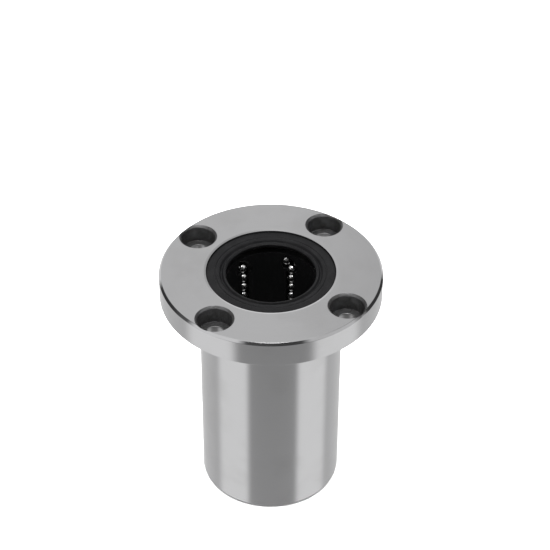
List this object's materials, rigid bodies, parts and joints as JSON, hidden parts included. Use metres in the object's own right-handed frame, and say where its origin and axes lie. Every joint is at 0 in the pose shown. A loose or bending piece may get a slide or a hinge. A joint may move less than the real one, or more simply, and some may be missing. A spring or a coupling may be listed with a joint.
{
  "type": "flanged linear ball bushing",
  "caption": "Linear ball bushing with a round flange: a steel sleeve whose retainer holds closed loops of balls, sealed at both ends, for a round shaft.",
  "frame": {"origin": "centre of the barrel's end face, which the part stands on", "axes": "+Z along the bore from the barrel's end to the flange; +X and +Y lie midway between the screw holes"},
  "size_m": [0.062, 0.062, 0.073],
  "materials": {
    "bearing_steel": "fine ground and turned bearing steel",
    "ball_steel": "mirror polished bearing balls",
    "ring_steel": "plain pressed spring steel, oiled",
    "seal_rubber": "moulded black nitrile rubber, satin",
    "black_resin": "moulded black bearing resin"
  },
  "bodies": {
    "sleeve": {"sleeve": "bearing_steel", "retainer": "black_resin", "upper_side_ring": "ring_steel", "lower_side_ring": "ring_steel", "upper_seal_core": "ring_steel", "lower_seal_core": "ring_steel", "upper_seal_lip": "seal_rubber", "lower_seal_lip": "seal_rubber"},
    "loop_1_loaded_balls": {"loop_1_loaded_balls": "ball_steel"},
    "loop_1_return_balls": {"loop_1_return_balls": "ball_steel"},
    "loop_1_upper_turn_balls": {"loop_1_upper_turn_balls": "ball_steel"},
    "loop_1_lower_turn_balls": {"loop_1_lower_turn_balls": "ball_steel"},
    "loop_2_loaded_balls": {"loop_2_loaded_balls": "ball_steel"},
    "loop_2_return_balls": {"loop_2_return_balls": "ball_steel"},
    "loop_2_upper_turn_balls": {"loop_2_upper_turn_balls": "ball_steel"},
    "loop_2_lower_turn_balls": {"loop_2_lower_turn_balls": "ball_steel"},
    "loop_3_loaded_balls": {"loop_3_loaded_balls": "ball_steel"},
    "loop_3_return_balls": {"loop_3_return_balls": "ball_steel"},
    "loop_3_upper_turn_balls": {"loop_3_upper_turn_balls": "ball_steel"},
    "loop_3_lower_turn_balls": {"loop_3_lower_turn_balls": "ball_steel"},
    "loop_4_loaded_balls": {"loop_4_loaded_balls": "ball_steel"},
    "loop_4_return_balls": {"loop_4_return_balls": "ball_steel"},
    "loop_4_upper_turn_balls": {"loop_4_upper_turn_balls": "ball_steel"},
    "loop_4_lower_turn_balls": {"loop_4_lower_turn_balls": "ball_steel"},
    "loop_5_loaded_balls": {"loop_5_loaded_balls": "ball_steel"},
    "loop_5_return_balls": {"loop_5_return_balls": "ball_steel"},
    "loop_5_upper_turn_balls": {"loop_5_upper_turn_balls": "ball_steel"},
    "loop_5_lower_turn_balls": {"loop_5_lower_turn_balls": "ball_steel"},
    "loop_6_loaded_balls": {"loop_6_loaded_balls": "ball_steel"},
    "loop_6_return_balls": {"loop_6_return_balls": "ball_steel"},
    "loop_6_upper_turn_balls": {"loop_6_upper_turn_balls": "ball_steel"},
    "loop_6_lower_turn_balls": {"loop_6_lower_turn_balls": "ball_steel"}
  },
  "joints": [
    {"name": "loop_1_loaded_roll", "type": "slide", "parent": "sleeve", "child": "loop_1_loaded_balls", "axis": [0, 0, 1], "range_m": [-0.002, 0.0012]},
    {"name": "loop_1_return_roll", "type": "slide", "parent": "sleeve", "child": "loop_1_return_balls", "axis": [0, 0, 1], "range_m": [-0.0012, 0.002]},
    {"name": "loop_1_upper_turn", "type": "hinge", "parent": "sleeve", "child": "loop_1_upper_turn_balls", "pos_m": [0.01444, 0.00139, 0.0637], "axis": [0.9868, -0.1618, 0], "range_deg": [-28.65, 47.75]},
    {"name": "loop_1_lower_turn", "type": "hinge", "parent": "sleeve", "child": "loop_1_lower_turn_balls", "pos_m": [0.01444, 0.00139, 0.0093], "axis": [0.9868, -0.1618, 0], "range_deg": [-28.65, 47.75]},
    {"name": "loop_2_loaded_roll", "type": "slide", "parent": "sleeve", "child": "loop_2_loaded_balls", "axis": [0, 0, 1], "range_m": [-0.0029, 0.0003]},
    {"name": "loop_2_return_roll", "type": "slide", "parent": "sleeve", "child": "loop_2_return_balls", "axis": [0, 0, 1], "range_m": [-0.0003, 0.0029]},
    {"name": "loop_2_upper_turn", "type": "hinge", "parent": "sleeve", "child": "loop_2_upper_turn_balls", "pos_m": [0.00602, 0.0132, 0.0637], "axis": [0.6335, 0.7737, 0], "range_deg": [-7.17, 69.24]},
    {"name": "loop_2_lower_turn", "type": "hinge", "parent": "sleeve", "child": "loop_2_lower_turn_balls", "pos_m": [0.00602, 0.0132, 0.0093], "axis": [0.6335, 0.7737, 0], "range_deg": [-7.17, 69.24]},
    {"name": "loop_3_loaded_roll", "type": "slide", "parent": "sleeve", "child": "loop_3_loaded_balls", "axis": [0, 0, 1], "range_m": [-0.00073, 0.00247]},
    {"name": "loop_3_return_roll", "type": "slide", "parent": "sleeve", "child": "loop_3_return_balls", "axis": [0, 0, 1], "range_m": [-0.00247, 0.00073]},
    {"name": "loop_3_upper_turn", "type": "hinge", "parent": "sleeve", "child": "loop_3_upper_turn_balls", "pos_m": [-0.00842, 0.01181, 0.0637], "axis": [-0.3533, 0.9355, 0], "range_deg": [-58.97, 17.43]},
    {"name": "loop_3_lower_turn", "type": "hinge", "parent": "sleeve", "child": "loop_3_lower_turn_balls", "pos_m": [-0.00842, 0.01181, 0.0093], "axis": [-0.3533, 0.9355, 0], "range_deg": [-58.97, 17.43]},
    {"name": "loop_4_loaded_roll", "type": "slide", "parent": "sleeve", "child": "loop_4_loaded_balls", "axis": [0, 0, 1], "range_m": [-0.001, 0.0022]},
    {"name": "loop_4_return_roll", "type": "slide", "parent": "sleeve", "child": "loop_4_return_balls", "axis": [0, 0, 1], "range_m": [-0.0022, 0.001]},
    {"name": "loop_4_upper_turn", "type": "hinge", "parent": "sleeve", "child": "loop_4_upper_turn_balls", "pos_m": [-0.01444, -0.00139, 0.0637], "axis": [-0.9868, 0.1618, 0], "range_deg": [-52.53, 23.88]},
    {"name": "loop_4_lower_turn", "type": "hinge", "parent": "sleeve", "child": "loop_4_lower_turn_balls", "pos_m": [-0.01444, -0.00139, 0.0093], "axis": [-0.9868, 0.1618, 0], "range_deg": [-52.53, 23.88]},
    {"name": "loop_5_loaded_roll", "type": "slide", "parent": "sleeve", "child": "loop_5_loaded_balls", "axis": [0, 0, 1], "range_m": [-0.0023, 0.0009]},
    {"name": "loop_5_return_roll", "type": "slide", "parent": "sleeve", "child": "loop_5_return_balls", "axis": [0, 0, 1], "range_m": [-0.0009, 0.0023]},
    {"name": "loop_5_upper_turn", "type": "hinge", "parent": "sleeve", "child": "loop_5_upper_turn_balls", "pos_m": [-0.00602, -0.0132, 0.0637], "axis": [-0.6335, -0.7737, 0], "range_deg": [-21.49, 54.91]},
    {"name": "loop_5_lower_turn", "type": "hinge", "parent": "sleeve", "child": "loop_5_lower_turn_balls", "pos_m": [-0.00602, -0.0132, 0.0093], "axis": [-0.6335, -0.7737, 0], "range_deg": [-21.49, 54.91]},
    {"name": "loop_6_loaded_roll", "type": "slide", "parent": "sleeve", "child": "loop_6_loaded_balls", "axis": [0, 0, 1], "range_m": [-0.0013, 0.0019]},
    {"name": "loop_6_return_roll", "type": "slide", "parent": "sleeve", "child": "loop_6_return_balls", "axis": [0, 0, 1], "range_m": [-0.0019, 0.0013]},
    {"name": "loop_6_upper_turn", "type": "hinge", "parent": "sleeve", "child": "loop_6_upper_turn_balls", "pos_m": [0.00842, -0.01181, 0.0637], "axis": [0.3533, -0.9355, 0], "range_deg": [-45.36, 31.04]},
    {"name": "loop_6_lower_turn", "type": "hinge", "parent": "sleeve", "child": "loop_6_lower_turn_balls", "pos_m": [0.00842, -0.01181, 0.0093], "axis": [0.3533, -0.9355, 0], "range_deg": [-45.36, 31.04]}
  ],
  "couplings": [
    {"joint": "loop_1_return_roll", "follows": "loop_1_loaded_roll", "ratio": -1},
    {"joint": "loop_1_upper_turn", "follows": "loop_1_loaded_roll", "rad_per_m": -416.67},
    {"joint": "loop_1_lower_turn", "follows": "loop_1_loaded_roll", "rad_per_m": -416.67},
    {"joint": "loop_2_return_roll", "follows": "loop_2_loaded_roll", "ratio": -1},
    {"joint": "loop_2_upper_turn", "follows": "loop_2_loaded_roll", "rad_per_m": -416.67},
    {"joint": "loop_2_lower_turn", "follows": "loop_2_loaded_roll", "rad_per_m": -416.67},
    {"joint": "loop_3_return_roll", "follows": "loop_3_loaded_roll", "ratio": -1},
    {"joint": "loop_3_upper_turn", "follows": "loop_3_loaded_roll", "rad_per_m": -416.67},
    {"joint": "loop_3_lower_turn", "follows": "loop_3_loaded_roll", "rad_per_m": -416.67},
    {"joint": "loop_4_return_roll", "follows": "loop_4_loaded_roll", "ratio": -1},
    {"joint": "loop_4_upper_turn", "follows": "loop_4_loaded_roll", "rad_per_m": -416.67},
    {"joint": "loop_4_lower_turn", "follows": "loop_4_loaded_roll", "rad_per_m": -416.67},
    {"joint": "loop_5_return_roll", "follows": "loop_5_loaded_roll", "ratio": -1},
    {"joint": "loop_5_upper_turn", "follows": "loop_5_loaded_roll", "rad_per_m": -416.67},
    {"joint": "loop_5_lower_turn", "follows": "loop_5_loaded_roll", "rad_per_m": -416.67},
    {"joint": "loop_6_return_roll", "follows": "loop_6_loaded_roll", "ratio": -1},
    {"joint": "loop_6_upper_turn", "follows": "loop_6_loaded_roll", "rad_per_m": -416.67},
    {"joint": "loop_6_lower_turn", "follows": "loop_6_loaded_roll", "rad_per_m": -416.67}
  ]
}
